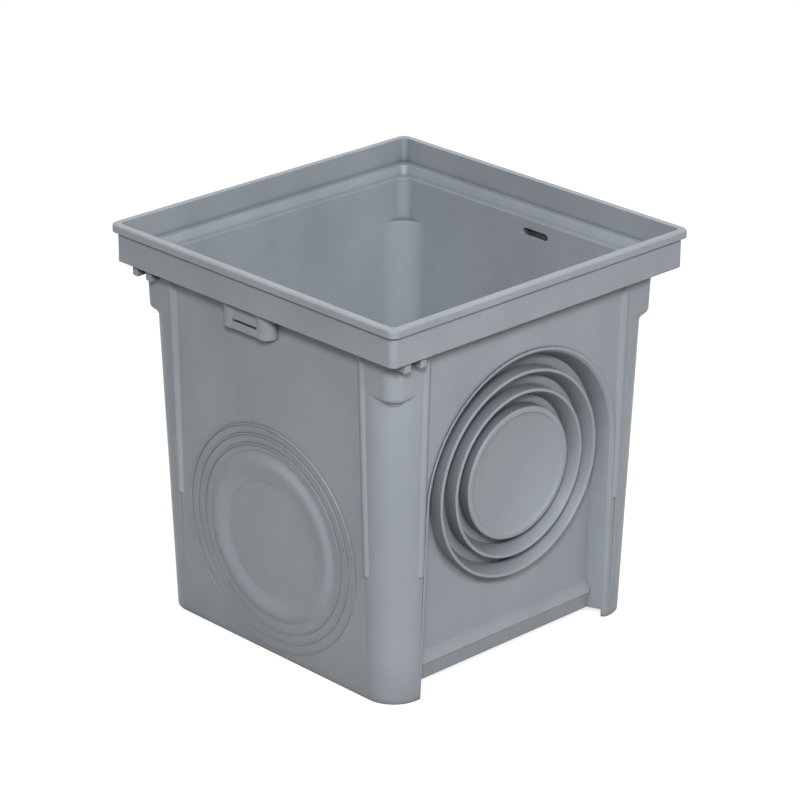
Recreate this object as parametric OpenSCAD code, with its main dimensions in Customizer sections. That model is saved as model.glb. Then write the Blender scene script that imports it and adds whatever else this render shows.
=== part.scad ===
// Drain inspection chamber: a square plastic catch box with a stepped grate seat,
// pipe knock-outs in a tombstone niche and scored knock-outs in its other walls.
// Millimetres, +Z up, origin at the centre of the base. The niche faces +X.

/* [Rim] */
// Width of the square rim over its lip
rim_w = 300; // [286:1:360]
// Overall height of the chamber
total_h = 305; // [290:1:400]
// Radius of the lip's vertical corners
rim_r = 5; // [2:0.5:7]
// Height of the lip band round the top
lip_h = 6; // [4:0.5:10]
// How far the lip stands out over the skirt
lip_out = 3.3; // [1:0.1:5]
// Bottom edge of the skirt below the top
skirt_drop = 29; // [27:1:34]
// Thickness of the skirt
skirt_wall = 2.4; // [1.6:0.1:4]
// Chamfer on the lip's top edges
lip_chamfer = 1; // [0.4:0.1:1.6]

/* [Grate seat] */
// Upper ledge below the top
seat_depth = 19; // [12:0.5:20]
// Width of the upper ledge
seat_w = 6.4; // [4:0.1:8]
// Lower ledge below the top
step_depth = 26; // [23:0.5:27]
// How far the riser between the ledges slopes
riser_slope = 2; // [0:0.1:2.5]
// Thickness of the ledges and of the riser between them
ledge_t = 2.6; // [1.6:0.1:3]

/* [Body] */
// Width over the body at its base
base_w = 250.7; // [236:0.1:256]
// Width over the body under the skirt
neck_w = 267.8; // [264:0.1:272]
// Radius of the corner columns
column_r = 24.3; // [16:0.1:30]
// Wall thickness
wall = 3; // [2.4:0.1:4]
// Floor thickness
floor_t = 3; // [2:0.5:6]
// Height of the foot under the floor
foot_h = 6; // [3:0.5:8]
// How far each wall's field lies in under the skirt
field_in = 1.4; // [0.5:0.1:1.6]

/* [Collar] */
// Height of the square-cornered collar under the skirt
collar_h = 33; // [20:1:45]
// Corner radius of the collar
collar_r = 11; // [7:0.5:15]
// Height of the cove between the collar and the columns
cove_h = 6.5; // [4:0.5:12]

/* [Beads] */
// Width of a vertical bead
bead_w = 12; // [8:0.5:14]
// How far a bead stands out over the columns
bead_out = 1.6; // [0.8:0.1:3]
// Distance of a bead's middle from the wall's middle
bead_x = 101; // [99:0.5:104]
// Height of the beads' lower ends above the base
bead_end = 99.5; // [60:0.5:140]

/* [Gussets] */
// Width of a gusset under the skirt
gusset_w = 5.6; // [3:0.1:8]
// How far a gusset reaches below the skirt
gusset_h = 8; // [5:0.5:14]
// Reach of a gusset out from the wall
gusset_out = 9.5; // [4:0.5:10]
// Distance of the outer gusset from the wall's middle
gusset_x = 129.1; // [120:0.1:130]
// Spacing of the two gussets beside a corner
gusset_pitch = 14.8; // [10:0.1:16]

/* [Niche] */
// Radius of the arch at the front
niche_r = 94; // [88:0.5:95]
// Radius of the arch at the panel
panel_r = 87.7; // [85:0.1:88]
// Depth of the panel behind the wall's face
niche_depth = 14.9; // [10:0.1:20]
// Height of the knock-out's middle above the base
ring_z = 148; // [135:0.5:155]
// Spread of each side between the arch and the base
niche_flare = 2.5; // [0:0.1:3]
// Chamfer on the niche's front edge
niche_edge = 2; // [1:0.1:3]
// Height of the band along the panel's bottom edge
sill_h = 13; // [9:0.5:16]
// How far the panel flares out over that band
sill_out = 4; // [3:0.1:5]
// Height of the flare
flare_h = 10; // [4:0.5:14]
// Step back from the flare's edge to the band
sill_step = 1.2; // [0.6:0.1:1.6]
// How far the band leans in from there down to the base
sill_lean = 2.2; // [0:0.1:2.4]

/* [Knock-out rings] */
// Outer diameters of the pipe rings, outside to inside
ring_d = [160, 130]; // [90:1:170]
// Width of a ring's lip
ring_lip = 2.6; // [1.5:0.1:4]
// Width of a ring at the panel
ring_foot = 8; // [5:0.1:9]
// Depth of the lips behind the wall's face
ring_back = 3; // [1:0.1:6]
// Diameter of the middle disc
disc_d = 102; // [80:1:104]
// Depth of the disc behind the wall's face
disc_back = 4.4; // [3:0.1:8]
// Width of the raised edge round the disc
disc_edge = 5; // [3:0.1:8]
// Step from that edge down to the dish
dish_step = 1.8; // [0.6:0.1:2.4]
// Depth of the dish below that step
dish_depth = 6; // [1:0.1:8]

/* [Scored knock-outs] */
// Height of the scored rings' middle above the base
score_z = 94; // [92:0.5:110]
// Radius of the largest scored ring
score_r = 88.5; // [80:0.5:90]
// Spacing of the scored rings
score_pitch = 7.5; // [6:0.1:9]
// Radius of the middle disc
score_disc_r = 45; // [38:0.5:48]
// Radius of the crest of the swell round the disc
swell_r = 59; // [52:0.5:62]
// Outer radius of the swell
swell_end = 68; // [64:0.5:69]
// Height of the swell
swell_out = 2.4; // [1:0.1:3.5]
// Height of the scored ridges
score_out = 1; // [0.3:0.1:1.4]
// Width of a scored ridge
score_w = 2; // [1:0.1:3]

/* [Grate catches] */
// Width of a catch slot
slot_w = 26; // [16:0.5:32]
// Height of a catch slot
slot_h = 5.5; // [4.5:0.1:7]
// Height of a slot's middle below the top
slot_drop = 36; // [34:0.5:38]
// Offset of a slot's middle from the wall's middle
slot_x = -12; // [-20:0.5:20]
// Width of the catch housing outside the slot
catch_w = 52; // [46:0.5:74]
// Height of the catch housing below the ledge
catch_h = 20; // [18:0.5:26]
// How far the housing stands out
catch_out = 8.5; // [7:0.1:9.5]
// Thickness of the housing's cover
catch_t = 1.6; // [1.2:0.1:2.5]
// Height of the bar along the housing's lower edge
catch_bar = 6; // [4:0.5:8]

/* [Hidden] */

plastic = [0.55, 0.57, 0.6];
corner_fn = 64;
arch_fn = 96;
ring_fn = 128;
over = 1;             // run of a cut past the face it opens
small = 0.01;

skirt_z = total_h - skirt_drop;
lip_half = rim_w / 2;
skirt_half = lip_half - lip_out;
pocket_half = skirt_half - skirt_wall;
pocket_r = rim_r - skirt_wall / 2;
lip_r = rim_r + lip_out / 2;
riser_half = pocket_half - seat_w;
base_half = base_w / 2;
neck_half = neck_w / 2;
taper = (neck_half - base_half) / skirt_z;
lean = atan(taper);

// Half width over the columns at height z
function half_at(z) = base_half + taper * z;

// Square outline with rounded corners
module rounded_square(half, r) {
  offset(r, $fn = corner_fn) square(2 * (half - r), center = true);
}

// Square prism between two heights, with its own half width at each
module square_prism(z0, z1, half0, half1, r) {
  translate([0, 0, z0])
    linear_extrude(height = z1 - z0, scale = half1 / half0) rounded_square(half0, r);
}

// Tapered square prism that follows the body's walls, moved in by inset
module body_prism(z0, z1, inset, r) {
  square_prism(z0, z1, half_at(z0) - inset, half_at(z1) - inset, r - inset);
}

// Places children on a wall: x along it, y up it, z out of it. Side 0 is +X, then anticlockwise
module on_wall(side) {
  rotate([0, 0, 90 * side]) translate([base_half, 0, 0])
    rotate([0, lean, 0]) rotate([90, 0, 90]) children();
}

// Corner blocks whose soft curve carries the collar's square corners down into the columns
module cove() {
  top = skirt_z - collar_h;
  corner = half_at(top) - column_r;
  reach = sqrt(2) * (column_r - collar_r) + collar_r;
  steps = 4;
  size = [for (i = [0 : steps]) 1 - (1 - column_r / reach) * (1 - cos(180 * i / steps)) / 2];
  for (side = [0 : 3], i = [1 : steps]) rotate([0, 0, 90 * side])
    translate([corner, corner, top + small - (i - 1) * cove_h / steps]) mirror([0, 0, 1])
      linear_extrude(height = cove_h / steps + small, scale = size[i] / size[i - 1]) scale(size[i - 1])
        offset(collar_r, $fn = corner_fn) square(column_r - collar_r);
}

// The solid outline of the columns, walls and collar
module body_outline() {
  body_prism(0, skirt_z + over, 0, column_r);
  body_prism(skirt_z - collar_h, skirt_z + over, 0, collar_r);
  cove();
}

// The inside of the columns, walls and collar
module body_cavity() {
  body_prism(foot_h + floor_t, total_h - step_depth + over, wall, column_r);
  body_prism(skirt_z - collar_h + wall, total_h - step_depth + over, wall, collar_r);
}

// Lip, skirt and the block that the seat is cut from
module rim_outline() {
  square_prism(skirt_z, total_h - over, skirt_half, skirt_half, rim_r);
  square_prism(total_h - lip_h, total_h - lip_chamfer, lip_half, lip_half, lip_r);
  square_prism(total_h - lip_chamfer, total_h, lip_half, lip_half - lip_chamfer, lip_r);
}

// Grate pocket with its two ledges, and the hollow behind the skirt
module rim_cuts() {
  seat_z = total_h - seat_depth;
  square_prism(seat_z, total_h + over, pocket_half, pocket_half, pocket_r);
  square_prism(total_h - lip_chamfer, total_h + over, pocket_half, pocket_half + lip_chamfer + over,
    pocket_r);
  square_prism(total_h - step_depth, seat_z, riser_half - riser_slope, riser_half, rim_r);
  square_prism(seat_z - small, seat_z + over, riser_half, riser_half, rim_r);
  difference() {
    square_prism(skirt_z - over, seat_z - ledge_t, pocket_half, pocket_half, pocket_r);
    square_prism(skirt_z - 2 * over, seat_z, riser_half + ledge_t, riser_half + ledge_t, rim_r);
  }
}

// Shallow wedge between the beads that takes a wall's field back towards the skirt
module field_cut() {
  field_half = bead_x;
  wall_run = skirt_z / cos(lean);
  translate([-field_half, 0, 0]) rotate([90, 0, 90])
    linear_extrude(height = 2 * field_half)
      polygon([[0, 0], [wall_run, -field_in], [wall_run, over], [0, over]]);
}

// Vertical bead with soft flanks, from the skirt down to its flat end
module bead(x) {
  steps = 16;
  crest = bead_out + field_in;
  profile = [for (i = [0 : steps]) let (s = i / steps * 2 - 1)
    [s * bead_w / 2, crest * (1 + cos(180 * s)) / 2 - field_in]];
  top = (skirt_z + over) / cos(lean);
  translate([x, top, 0]) rotate([90, 0, 0])
    linear_extrude(height = top - bead_end)
      polygon(concat([[-bead_w / 2, -wall]], profile, [[bead_w / 2, -wall]]));
}

// Small block between the wall and the skirt, under the ledge
module gusset(x) {
  top = skirt_z / cos(lean) + over;
  translate([x - gusset_w / 2, 0, 0]) rotate([90, 0, 90])
    linear_extrude(height = gusset_w)
      polygon([[top - over - gusset_h, -wall], [top, -wall], [top, gusset_out],
        [top - over - gusset_h, gusset_out]]);
}

// Tombstone outline of the niche, about the middle of the knock-out
module arch(r) {
  circle(r, $fn = arch_fn);
  polygon([[-r, 0], [r, 0], [r + 2 * niche_flare, -2 * ring_z], [-r - 2 * niche_flare, -2 * ring_z]]);
}

// The niche's sloping space, grown outwards by grow
module niche_form(grow) {
  back = niche_depth + grow;
  translate([0, ring_z, -back])
    linear_extrude(height = back, scale = niche_r / panel_r) arch(panel_r + grow);
}

// Chamfer along the niche's front edge
module niche_chamfer() {
  translate([0, ring_z, -niche_edge])
    linear_extrude(height = niche_edge + over, scale = 1 + (niche_edge + over) / niche_r)
      arch(niche_r - niche_edge * (niche_r - panel_r) / niche_depth);
}

// The panel's foot: it flares out in a curve, over a band that is set back and leans in
module sill() {
  sill_half = panel_r + wall;
  steps = 8;
  top = foot_h + sill_h;
  flare = [for (i = [0 : steps]) let (t = i / steps)
    [top + flare_h * (1 - t), sill_out * (1 - cos(90 * t))]];
  translate([-sill_half, 0, -niche_depth]) rotate([90, 0, 90])
    linear_extrude(height = 2 * sill_half)
      polygon(concat([[0, -over], [top + flare_h, -over]], flare,
        [[top - sill_step, sill_out - sill_step], [0, sill_out - sill_step - sill_lean]]));
}

// Pipe ring: straight outside, conical inside, with a softened lip
module pipe_ring(r_out) {
  rise = niche_depth - ring_back;
  soft = ring_lip / 4;
  rotate_extrude($fn = ring_fn)
    polygon([[r_out - ring_foot, -over], [r_out - ring_foot, 0], [r_out - ring_lip, rise - soft],
      [r_out - ring_lip + soft, rise], [r_out - soft, rise], [r_out, rise - soft], [r_out, -over]]);
}

// Middle disc: a raised edge with softened corners round a dish
module pipe_disc() {
  r_out = disc_d / 2;
  r_in = r_out - disc_edge;
  r_dish = r_in - dish_step;
  rise = niche_depth - disc_back;
  soft = disc_edge / 5;
  steps = 12;
  dish = [for (i = [0 : steps]) let (t = i / steps)
    [r_dish * t, rise - dish_step - dish_depth * (1 - t * t)]];
  rotate_extrude($fn = ring_fn)
    polygon(concat([[0, -over]], dish, [[r_in, rise - soft], [r_in + soft, rise],
      [r_out - soft, rise], [r_out, rise - soft], [r_out, -over]]));
}

// All rings and the disc, standing on the niche's panel
module knock_out() {
  translate([0, ring_z, -niche_depth]) {
    for (d = ring_d) pipe_ring(d / 2);
    pipe_disc();
  }
}

// Height of the swell at radius r, with a gentle inner and a steeper outer side
function swell_at(r) = let (side = r < swell_r ? score_disc_r : swell_end)
  swell_out * (1 + cos(180 * (r - swell_r) / (side - swell_r))) / 2;

// Scored ridges on a plain wall, round a low swell and a flat disc
module scored_knock_out() {
  depth_here = field_in * score_z / skirt_z;
  base = -depth_here - wall / 2;
  face = -base - depth_here;
  steps = 20;
  swell = [for (i = [0 : steps]) let (r = score_disc_r + (swell_end - score_disc_r) * i / steps)
    [r, face + swell_at(r)]];
  translate([0, score_z, base]) {
    for (i = [0 : 2]) let (r = score_r - i * score_pitch) rotate_extrude($fn = ring_fn)
      polygon([[r - score_w / 2, 0], [r - score_w / 4, face + score_out],
        [r + score_w / 4, face + score_out], [r + score_w / 2, 0]]);
    rotate_extrude($fn = ring_fn)
      polygon(concat([[score_disc_r, 0]], swell, [[swell_end, 0]]));
  }
}

// Slot through the wall into its catch housing
module catch_slot() {
  run = (slot_w - slot_h) / 2;
  depth = 2 * wall + catch_out - 2 * catch_t;
  translate([slot_x, total_h - slot_drop, -2 * wall]) {
    for (x = [-run, run]) translate([x, 0, 0]) cylinder(h = depth - catch_t, d = slot_h, $fn = 48);
    translate([-run, -slot_h / 2, 0]) cube([2 * run, slot_h, depth - catch_t]);
  }
}

// Catch housing under the ledge: round ends, sloping cover, slit and bottom bar
module catch_housing() {
  top = skirt_z / cos(lean) + over;
  base = top - over - catch_h;
  end_x = catch_w / 2 - catch_out;
  translate([slot_x, 0, 0]) {
    intersection() {
      for (x = [-end_x, end_x]) translate([x, top, 0]) rotate([90, 0, 0])
        cylinder(h = top - base, r = catch_out, $fn = 48);
      translate([-catch_w, base, -wall / 2]) cube([2 * catch_w, top, catch_out + wall]);
    }
    difference() {
      translate([-end_x, 0, 0]) rotate([90, 0, 90])
        linear_extrude(height = 2 * end_x)
          polygon([[top, -wall / 2], [top, catch_out - 2 * catch_t],
            [base + catch_bar, catch_out - catch_t / 2], [base, catch_out - catch_t / 2],
            [base, -wall / 2]]);
      translate([-slot_w / 2, base + catch_bar, catch_out - 2.5 * catch_t])
        cube([slot_w, catch_t, 3 * catch_t]);
    }
  }
}

module chamber_body() {
  color(plastic) {
    difference() {
      union() {
        difference() {
          union() {
            body_outline();
            rim_outline();
          }
          rim_cuts();
          body_cavity();
          for (side = [0 : 3]) on_wall(side) field_cut();
        }
        for (side = [0 : 3]) on_wall(side) {
          for (x = [-bead_x, bead_x]) bead(x);
        }
        for (side = [0 : 3], i = [0, 1]) on_wall(side) gusset(i * gusset_pitch - gusset_x);
        for (side = [1, 3]) on_wall(side) catch_housing();
        for (side = [1 : 3]) on_wall(side) scored_knock_out();
        intersection() {
          body_outline();
          on_wall(0) niche_form(wall);
        }
      }
      on_wall(0) niche_form(0);
      on_wall(0) niche_chamfer();
      for (side = [1, 3]) on_wall(side) catch_slot();
      square_prism(-over, foot_h, base_half - wall, base_half - wall, column_r - wall);
    }
    difference() {
      on_wall(0) {
        knock_out();
        sill();
      }
      square_prism(-over, foot_h, base_half, base_half, column_r);
    }
  }
}

chamber_body();
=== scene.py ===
"""Finish, lamps and camera for a moulded drain inspection chamber.

Laid out as a Blender add-on. Run as a script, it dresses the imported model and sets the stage.
"""

import math

import bpy  # noqa: E402
from mathutils import Matrix, Vector  # noqa: E402


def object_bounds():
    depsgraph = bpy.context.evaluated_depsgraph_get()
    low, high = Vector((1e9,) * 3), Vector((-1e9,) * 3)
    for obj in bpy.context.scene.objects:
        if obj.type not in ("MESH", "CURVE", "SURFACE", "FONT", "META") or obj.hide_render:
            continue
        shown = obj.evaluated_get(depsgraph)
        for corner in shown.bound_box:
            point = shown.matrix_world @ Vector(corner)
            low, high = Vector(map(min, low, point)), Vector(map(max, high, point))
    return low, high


bl_info = {
    "name": "Drain Inspection Chamber",
    "version": (1, 0, 0),
    "blender": (4, 5, 0),
    "location": "3D Viewport > Sidebar > Chamber",
    "description": "Dresses a moulded drain inspection chamber and lights it in a plain studio",
    "category": "Object",
}

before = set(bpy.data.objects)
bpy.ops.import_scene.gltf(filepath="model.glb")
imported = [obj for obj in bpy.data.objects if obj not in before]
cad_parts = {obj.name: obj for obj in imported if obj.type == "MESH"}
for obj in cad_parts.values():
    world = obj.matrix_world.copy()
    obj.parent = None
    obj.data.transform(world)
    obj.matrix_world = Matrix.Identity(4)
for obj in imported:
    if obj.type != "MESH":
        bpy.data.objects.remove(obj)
CAD_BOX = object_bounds()

MM = 0.001
BODY_NODE = "chamber_body"
WHITE = (1.0, 1.0, 1.0, 1.0)

# Polypropylene's usual IOR, and how far the draw streaks swing its roughness either way
POLYPROPYLENE_IOR = 1.49
GLOSS_SWING = 0.05

# Noise keeps mostly within this band of 0 to 1
NOISE_LOW, NOISE_HIGH = 0.3, 0.7
NOISE_ROUGHNESS = 0.55

OCCLUSION_SAMPLES = 6
BEVEL_SAMPLES = 4

# Light level that the open paper gets from the lamps, at the least
PAPER_LEVEL = 0.7

SENSOR_MM = 36.0
CLIP_START, CLIP_END = 0.1, 50.0


def linear_rgba(hex_colour):
    """A hex colour as linear red, green, blue and alpha."""
    channels = [int(hex_colour[i : i + 2], 16) / 255 for i in (1, 3, 5)]
    return [c / 12.92 if c <= 0.04045 else ((c + 0.055) / 1.055) ** 2.4 for c in channels] + [1.0]


def box_middle(bounds):
    """Middle of a box given as its lowest and highest corner."""
    low, high = (Vector(corner) for corner in bounds)
    return (low + high) / 2


def toward(azimuth, elevation):
    """Unit vector from the object to a viewer or lamp; azimuth 0 is -Y and 90 degrees is +X."""
    return Vector(
        (
            math.sin(azimuth) * math.cos(elevation),
            -math.cos(azimuth) * math.cos(elevation),
            math.sin(elevation),
        )
    )


def add_node(tree, kind, inputs=None, **settings):
    """Adds a node, sets its own settings, then fills or links the inputs that are named."""
    node = tree.nodes.new(kind)
    for key, value in settings.items():
        setattr(node, key, value)
    for key, value in (inputs or {}).items():
        if isinstance(value, bpy.types.NodeSocket):
            tree.links.new(value, node.inputs[key])
        else:
            node.inputs[key].default_value = value
    return node


def new_material(name):
    """Empty node material and its tree."""
    material = bpy.data.materials.new(name)
    material.use_nodes = True
    material.node_tree.nodes.clear()
    return material, material.node_tree


def sees_backdrop(tree):
    """1 for the rays that show the backdrop as white: camera, glossy and transmission rays."""
    rays = add_node(tree, "ShaderNodeLightPath").outputs
    seen = rays["Is Camera Ray"]
    for other in (rays["Is Glossy Ray"], rays["Is Transmission Ray"]):
        seen = add_node(
            tree, "ShaderNodeMath", {0: seen, 1: other}, operation="MAXIMUM"
        ).outputs["Value"]
    return seen


def moulded_polypropylene(finish):
    """Injection moulded grey polypropylene: a soft satin skin with faint melt flow marks, a
    spark-eroded grain, shallow sink ripples and painted shade in the hollows, channels and inner
    corners."""
    material, tree = new_material("moulded_grey_polypropylene")
    place = add_node(tree, "ShaderNodeTexCoord").outputs["Object"]

    # The skin's marks, each as wide as the real one, and so many times as tall
    marks = {}
    for mark, width, tallness, detail in (
        ("cloud", finish.cloud_size, 1.6, 3.0),
        ("scuff", finish.scuff_size, 1.0, 3.0),
        ("streak", finish.streak_width, 30.0, 2.0),
        ("ripple", finish.ripple_size, 1.0, 1.0),
        ("grain", finish.grain_size, 1.0, 2.0),
    ):
        drawn_up = add_node(
            tree, "ShaderNodeMapping", {"Vector": place, "Scale": (1.0, 1.0, 1 / tallness)}
        )
        marks[mark] = add_node(
            tree,
            "ShaderNodeTexNoise",
            {
                "Vector": drawn_up.outputs["Vector"],
                "Scale": 1 / width,
                "Detail": detail,
                "Roughness": NOISE_ROUGHNESS,
            },
        ).outputs["Fac"]

    # Melt flow clouds the pigment in broad patches, drawn out up the wall
    cloudiness = add_node(
        tree,
        "ShaderNodeMapRange",
        {"Value": marks["cloud"], "From Min": NOISE_LOW, "From Max": NOISE_HIGH},
    ).outputs["Result"]
    skin_colour = add_node(
        tree,
        "ShaderNodeMix",
        {"Factor": cloudiness, "A": finish.pigment_deep, "B": finish.pigment_pale},
        data_type="RGBA",
    ).outputs["Result"]

    # Painted shade: occlusion mixes a dark colour in thinly over the hollows, and strongly in the
    # channels and along the inner corners. It is strongest below the first openness and none
    # above the second
    for reach, amount, shade_full_below, shade_none_above in (
        (finish.hollow_reach, finish.hollow_amount, 0.45, 0.97),
        (finish.channel_reach, finish.channel_amount, 0.15, 0.6),
        (finish.crease_reach, finish.crease_amount, 0.3, 0.85),
    ):
        openness = add_node(
            tree, "ShaderNodeAmbientOcclusion", {"Distance": reach}, samples=OCCLUSION_SAMPLES
        ).outputs["AO"]
        cover = add_node(
            tree,
            "ShaderNodeMapRange",
            {
                "Value": openness,
                "From Min": shade_full_below,
                "From Max": shade_none_above,
                "To Min": amount,
                "To Max": 0.0,
            },
        ).outputs["Result"]
        skin_colour = add_node(
            tree,
            "ShaderNodeMix",
            {"Factor": cover, "A": skin_colour, "B": finish.painted_shade_colour},
            data_type="RGBA",
        ).outputs["Result"]
    crease_openness = openness

    # Handling scuffs and a painted highlight lighten the edges to a paler grey: where the
    # softened surface leaves the flat one, in patches, and outside the creases
    soft_normal = add_node(
        tree, "ShaderNodeBevel", {"Radius": finish.edge_radius}, samples=BEVEL_SAMPLES
    ).outputs["Normal"]
    flat_normal = add_node(tree, "ShaderNodeNewGeometry").outputs["Normal"]
    flatness = add_node(
        tree, "ShaderNodeVectorMath", {0: soft_normal, 1: flat_normal}, operation="DOT_PRODUCT"
    ).outputs["Value"]
    scuff_and_highlight = finish.scuff_and_highlight_amount
    for value, low, high, at_low, at_high in (
        (flatness, 0.8, 0.99, 1.0, 0.0),
        (marks["scuff"], NOISE_LOW, NOISE_HIGH, 0.3, 1.0),
        (crease_openness, 0.85, 1.0, 0.0, 1.0),
    ):
        share = add_node(
            tree,
            "ShaderNodeMapRange",
            {
                "Value": value,
                "From Min": low,
                "From Max": high,
                "To Min": at_low,
                "To Max": at_high,
            },
        ).outputs["Result"]
        scuff_and_highlight = add_node(
            tree, "ShaderNodeMath", {0: scuff_and_highlight, 1: share}, operation="MULTIPLY"
        ).outputs["Value"]
    skin_colour = add_node(
        tree,
        "ShaderNodeMix",
        {"Factor": scuff_and_highlight, "A": skin_colour, "B": finish.scuff_and_highlight_colour},
        data_type="RGBA",
    ).outputs["Result"]

    # The draw out of the mould leaves faint upright streaks in the gloss
    gloss = add_node(
        tree,
        "ShaderNodeMapRange",
        {
            "Value": marks["streak"],
            "From Min": NOISE_LOW,
            "From Max": NOISE_HIGH,
            "To Min": finish.roughness - GLOSS_SWING,
            "To Max": finish.roughness + GLOSS_SWING,
        },
    ).outputs["Result"]

    # Sink ripples, then the finer grain, drawn a little coarser than real so that it shows
    relief = soft_normal
    for height, depth in (
        (marks["ripple"], finish.ripple_depth),
        (marks["grain"], finish.grain_depth),
    ):
        relief = add_node(
            tree,
            "ShaderNodeBump",
            {"Height": height, "Strength": 1.0, "Distance": depth, "Normal": relief},
        ).outputs["Normal"]

    skin = add_node(
        tree,
        "ShaderNodeBsdfPrincipled",
        {
            "Base Color": skin_colour,
            "Roughness": gloss,
            "IOR": POLYPROPYLENE_IOR,
            "Normal": relief,
        },
    )
    add_node(tree, "ShaderNodeOutputMaterial", {"Surface": skin.outputs["BSDF"]})
    return material


def studio_paper(stage):
    """Matt white paper sweep: it lights the object as a plain diffuser, and shows as white with
    the object's soft shadow on it."""
    material, tree = new_material("studio_paper")
    plain = add_node(tree, "ShaderNodeBsdfDiffuse", {"Color": stage.floor_colour})
    shadow_catch = add_node(
        tree, "ShaderNodeBsdfDiffuse", {"Color": [stage.shadow_share] * 3 + [1.0]}
    )
    glow = add_node(
        tree,
        "ShaderNodeEmission",
        {"Color": WHITE, "Strength": 1 - PAPER_LEVEL * stage.shadow_share},
    )
    near = add_node(
        tree,
        "ShaderNodeAddShader",
        {0: shadow_catch.outputs["BSDF"], 1: glow.outputs["Emission"]},
    )
    # The sweep runs out to plain white beyond the shadow
    far = add_node(tree, "ShaderNodeEmission", {"Color": WHITE, "Strength": 1.0})
    distance = add_node(
        tree,
        "ShaderNodeVectorMath",
        {0: add_node(tree, "ShaderNodeTexCoord").outputs["Object"]},
        operation="LENGTH",
    )
    fade = add_node(
        tree,
        "ShaderNodeMapRange",
        {
            "Value": distance.outputs["Value"],
            "From Min": stage.shadow_reach,
            "From Max": 2 * stage.shadow_reach,
        },
    )
    shown = add_node(
        tree,
        "ShaderNodeMixShader",
        {0: fade.outputs["Result"], 1: near.outputs["Shader"], 2: far.outputs["Emission"]},
    )
    sweep = add_node(
        tree,
        "ShaderNodeMixShader",
        {0: sees_backdrop(tree), 1: plain.outputs["BSDF"], 2: shown.outputs["Shader"]},
    )
    add_node(tree, "ShaderNodeOutputMaterial", {"Surface": sweep.outputs["Shader"]})
    return material


class ChamberFinish(bpy.types.PropertyGroup):
    """Colours and surface marks of the moulding."""

    pigment_pale: bpy.props.FloatVectorProperty(
        name="Pale pigment", description="Lighter side of the melt flow clouds",
        default=linear_rgba("#8E949A"), subtype="COLOR", size=4, min=0.0, max=1.0,
    )
    pigment_deep: bpy.props.FloatVectorProperty(
        name="Deep pigment", description="Darker side of the melt flow clouds",
        default=linear_rgba("#848A90"), subtype="COLOR", size=4, min=0.0, max=1.0,
    )
    # Painted shade: a dark colour that occlusion mixes into the hollows, channels and creases,
    # with its reach and strength for each
    painted_shade_colour: bpy.props.FloatVectorProperty(
        name="Painted shade", description="Colour of the shade painted into the grooves",
        default=linear_rgba("#2B2F34"), subtype="COLOR", size=4, min=0.0, max=1.0,
    )
    hollow_reach: bpy.props.FloatProperty(
        name="Hollow reach", description="How far a hollow's painted shade spreads",
        default=42 * MM, unit="LENGTH",
    )
    hollow_amount: bpy.props.FloatProperty(
        name="Hollow shade", description="How strongly shade is painted over a deep hollow",
        default=0.15, subtype="FACTOR",
    )
    channel_reach: bpy.props.FloatProperty(
        name="Channel reach", description="How far a channel's painted shade spreads",
        default=14 * MM, unit="LENGTH",
    )
    channel_amount: bpy.props.FloatProperty(
        name="Channel shade", description="How strongly shade is painted into a narrow channel",
        default=0.85, subtype="FACTOR",
    )
    crease_reach: bpy.props.FloatProperty(
        name="Crease reach", description="How far a crease's painted shade spreads",
        default=4 * MM, unit="LENGTH",
    )
    crease_amount: bpy.props.FloatProperty(
        name="Crease shade", description="How strongly shade is painted into a crease",
        default=0.45, subtype="FACTOR",
    )
    # Paler outer edges: scuffs together with a painted highlight
    scuff_and_highlight_colour: bpy.props.FloatVectorProperty(
        name="Scuffs and highlight", description="Paler colour of the outer edges: scuffs and painted highlight",
        default=linear_rgba("#B9BFC5"), subtype="COLOR", size=4, min=0.0, max=1.0,
    )
    scuff_and_highlight_amount: bpy.props.FloatProperty(
        name="Scuffing and highlight", description="How far the outer edges are scuffed and painted lighter as a highlight",
        default=0.6, subtype="FACTOR",
    )
    scuff_size: bpy.props.FloatProperty(
        name="Scuff size", description="Width of a scuffed patch",
        default=9 * MM, unit="LENGTH",
    )
    roughness: bpy.props.FloatProperty(
        name="Roughness", description="Roughness of the satin skin",
        default=0.4, subtype="FACTOR",
    )
    cloud_size: bpy.props.FloatProperty(
        name="Cloud size", description="Width of a melt flow cloud",
        default=55 * MM, unit="LENGTH",
    )
    streak_width: bpy.props.FloatProperty(
        name="Streak width", description="Width of a draw streak",
        default=3 * MM, unit="LENGTH",
    )
    ripple_size: bpy.props.FloatProperty(
        name="Ripple size", description="Width of a sink ripple",
        default=16 * MM, unit="LENGTH",
    )
    ripple_depth: bpy.props.FloatProperty(
        name="Ripple depth", description="Depth of the sink ripples",
        default=0.25 * MM, unit="LENGTH",
    )
    grain_size: bpy.props.FloatProperty(
        name="Grain size", description="Width of a grain of the mould's texture",
        default=1.4 * MM, unit="LENGTH",
    )
    grain_depth: bpy.props.FloatProperty(
        name="Grain depth", description="Depth of the mould's texture",
        default=0.05 * MM, unit="LENGTH",
    )
    edge_radius: bpy.props.FloatProperty(
        name="Edge radius", description="Softening of the moulded edges",
        default=0.8 * MM, unit="LENGTH",
    )


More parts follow.
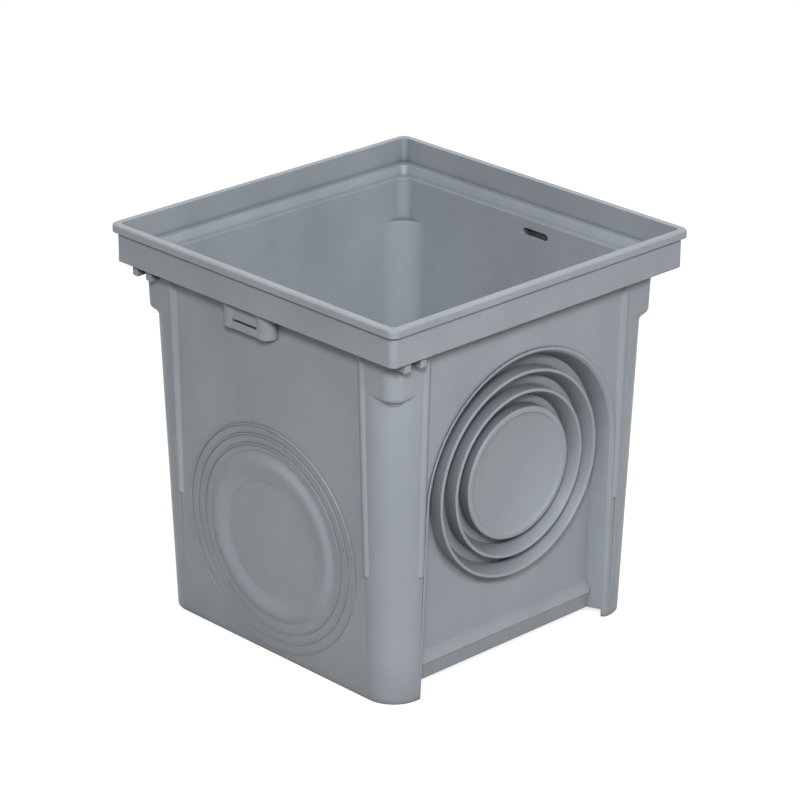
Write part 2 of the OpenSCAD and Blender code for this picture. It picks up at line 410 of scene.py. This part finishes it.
class ChamberStage(bpy.types.PropertyGroup):
    """Floor, lamps and camera."""

    floor_colour: bpy.props.FloatVectorProperty(
        name="Floor", description="Colour of the paper as the object sees it",
        default=linear_rgba("#7C7C7C"), subtype="COLOR", size=4, min=0.0, max=1.0,
    )
    shadow_share: bpy.props.FloatProperty(
        name="Shadow", description="How much of the paper's look comes from the lamps",
        default=0.3, subtype="FACTOR",
    )
    shadow_reach: bpy.props.FloatProperty(
        name="Shadow reach", description="From the middle to where the shadow starts to fade out",
        default=0.6, unit="LENGTH",
    )
    floor_width: bpy.props.FloatProperty(
        name="Floor width", description="Width of the paper",
        default=12.0, unit="LENGTH",
    )
    lamp_distance: bpy.props.FloatProperty(
        name="Lamp distance", description="From the object to each lamp",
        default=3.0, unit="LENGTH",
    )
    lamp_width: bpy.props.FloatProperty(
        name="Lamp width", description="Width of each soft lamp",
        default=0.5, unit="LENGTH",
    )
    lens: bpy.props.FloatProperty(
        name="Lens", description="Focal length on a 36 mm sensor",
        default=156.9, unit="CAMERA",
    )
    view_azimuth: bpy.props.FloatProperty(
        name="View azimuth", description="Camera's turn from -Y towards +X",
        default=math.radians(46.03), subtype="ANGLE",
    )
    view_elevation: bpy.props.FloatProperty(
        name="View elevation", description="Camera's height angle",
        default=math.radians(22.65), subtype="ANGLE",
    )
    view_roll: bpy.props.FloatProperty(
        name="View roll", description="Camera's roll",
        default=math.radians(0.26), subtype="ANGLE",
    )
    view_distance: bpy.props.FloatProperty(
        name="View distance", description="From the camera to its aim",
        default=2.626, unit="LENGTH",
    )
    aim_offset: bpy.props.FloatVectorProperty(
        name="Aim offset", description="Aim from the middle of the object's box",
        default=(-20.7 * MM, 21.5 * MM, 2.5 * MM), subtype="XYZ", unit="LENGTH",
    )


class CHAMBER_OT_finish(bpy.types.Operator):
    """Gives the moulding its plastic skin"""

    bl_idname = "chamber.finish"
    bl_label = "Finish Moulding"

    def execute(self, context):
        skin = moulded_polypropylene(context.scene.chamber_finish)
        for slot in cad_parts[BODY_NODE].material_slots:
            slot.material = skin
        if not skin.users:
            raise RuntimeError("the moulding has no material slot for its skin")
        return {"FINISHED"}


class CHAMBER_OT_stage(bpy.types.Operator):
    """Lays the paper floor and sets the soft lamps and the camera"""

    bl_idname = "chamber.stage"
    bl_label = "Set Stage"

    # Name, azimuth and elevation in degrees, light level on a surface that faces the lamp, and
    # whether it shows as a gloss: one lamp gives the sheen, and the others are soft fill
    LAMPS = (
        ("key_middle", 46, 33, 0.42, False),
        ("key_sheen", 46, 33, 0.44, True),
        ("key_right", 78, 34, 0.38, False),
        ("key_left", 12, 34, 0.05, False),
        ("top", 32, 85, 0.3, False),
        ("back_right", 200, 22, 0.42, False),
        ("back_left", 252, 22, 0.42, False),
    )

    # Light from all round, under the lamps
    AMBIENT = 0.03

    def execute(self, context):
        stage = context.scene.chamber_stage
        middle = box_middle(CAD_BOX)
        self.lay_floor(context, stage)
        for lamp in self.LAMPS:
            self.hang_lamp(context, stage, middle, *lamp)
        self.set_world(context)
        self.set_camera(context, stage, middle)
        context.scene.view_settings.view_transform = "Standard"
        return {"FINISHED"}

    def lay_floor(self, context, stage):
        """Square of paper under the foot."""
        half = stage.floor_width / 2
        mesh = bpy.data.meshes.new("floor")
        corners = [(-half, -half, 0), (half, -half, 0), (half, half, 0), (-half, half, 0)]
        mesh.from_pydata(corners, [], [(0, 1, 2, 3)])
        mesh.materials.append(studio_paper(stage))
        floor = bpy.data.objects.new("floor", mesh)
        context.collection.objects.link(floor)

    def hang_lamp(self, context, stage, middle, name, azimuth, elevation, level, glossy):
        """Round soft lamp that faces the middle of the object."""
        lamp = bpy.data.lights.new(name, "AREA")
        lamp.shape = "DISK"
        lamp.size = stage.lamp_width
        # A disc of power P lights a facing surface at distance d with P / (pi d^2); level 1 is pi
        lamp.energy = level * math.pi * math.pi * stage.lamp_distance**2
        direction = toward(math.radians(azimuth), math.radians(elevation))
        hung = bpy.data.objects.new(name, lamp)
        hung.location = middle + direction * stage.lamp_distance
        hung.rotation_euler = direction.to_track_quat("Z", "Y").to_euler()
        hung.visible_glossy = glossy
        context.collection.objects.link(hung)

    def set_world(self, context):
        """White all round for the rays that show the backdrop, and a dim fill for the rest."""
        world = bpy.data.worlds.new("studio")
        world.use_nodes = True
        tree = world.node_tree
        tree.nodes.clear()
        strength = add_node(
            tree,
            "ShaderNodeMapRange",
            {"Value": sees_backdrop(tree), "To Min": self.AMBIENT, "To Max": 1.0},
        )
        sky = add_node(
            tree,
            "ShaderNodeBackground",
            {"Color": WHITE, "Strength": strength.outputs["Result"]},
        )
        add_node(tree, "ShaderNodeOutputWorld", {"Surface": sky.outputs["Background"]})
        context.scene.world = world

    def set_camera(self, context, stage, middle):
        """Camera at its angle and distance from the aim, with a slight roll."""
        camera = bpy.data.cameras.new("camera")
        camera.sensor_width = SENSOR_MM
        camera.lens = stage.lens
        camera.clip_start = CLIP_START
        camera.clip_end = CLIP_END
        back = toward(stage.view_azimuth, stage.view_elevation)
        aim = middle + Vector(stage.aim_offset)
        upright = back.to_track_quat("Z", "Y").to_matrix().to_4x4()
        rolled = upright @ Matrix.Rotation(stage.view_roll, 4, "Z")
        held = bpy.data.objects.new("camera", camera)
        held.matrix_world = Matrix.Translation(aim + back * stage.view_distance) @ rolled
        context.collection.objects.link(held)
        context.scene.camera = held


class CHAMBER_PT_panel(bpy.types.Panel):
    """Sidebar panel with the steps and their settings"""

    bl_label = "Chamber"
    bl_idname = "CHAMBER_PT_panel"
    bl_space_type = "VIEW_3D"
    bl_region_type = "UI"
    bl_category = "Chamber"

    def draw(self, context):
        for settings, operator in (
            (context.scene.chamber_finish, CHAMBER_OT_finish.bl_idname),
            (context.scene.chamber_stage, CHAMBER_OT_stage.bl_idname),
        ):
            box = self.layout.box()
            for key in settings.__annotations__:
                box.prop(settings, key)
            box.operator(operator)


CLASSES = (ChamberFinish, ChamberStage, CHAMBER_OT_finish, CHAMBER_OT_stage, CHAMBER_PT_panel)


def register():
    for cls in CLASSES:
        bpy.utils.register_class(cls)
    bpy.types.Scene.chamber_finish = bpy.props.PointerProperty(type=ChamberFinish)
    bpy.types.Scene.chamber_stage = bpy.props.PointerProperty(type=ChamberStage)


def unregister():
    del bpy.types.Scene.chamber_stage
    del bpy.types.Scene.chamber_finish
    for cls in reversed(CLASSES):
        bpy.utils.unregister_class(cls)


def main():
    """Registers the add-on and runs its steps in order."""
    register()
    bpy.ops.chamber.finish()
    bpy.ops.chamber.stage()


if __name__ == "__main__":
    main()
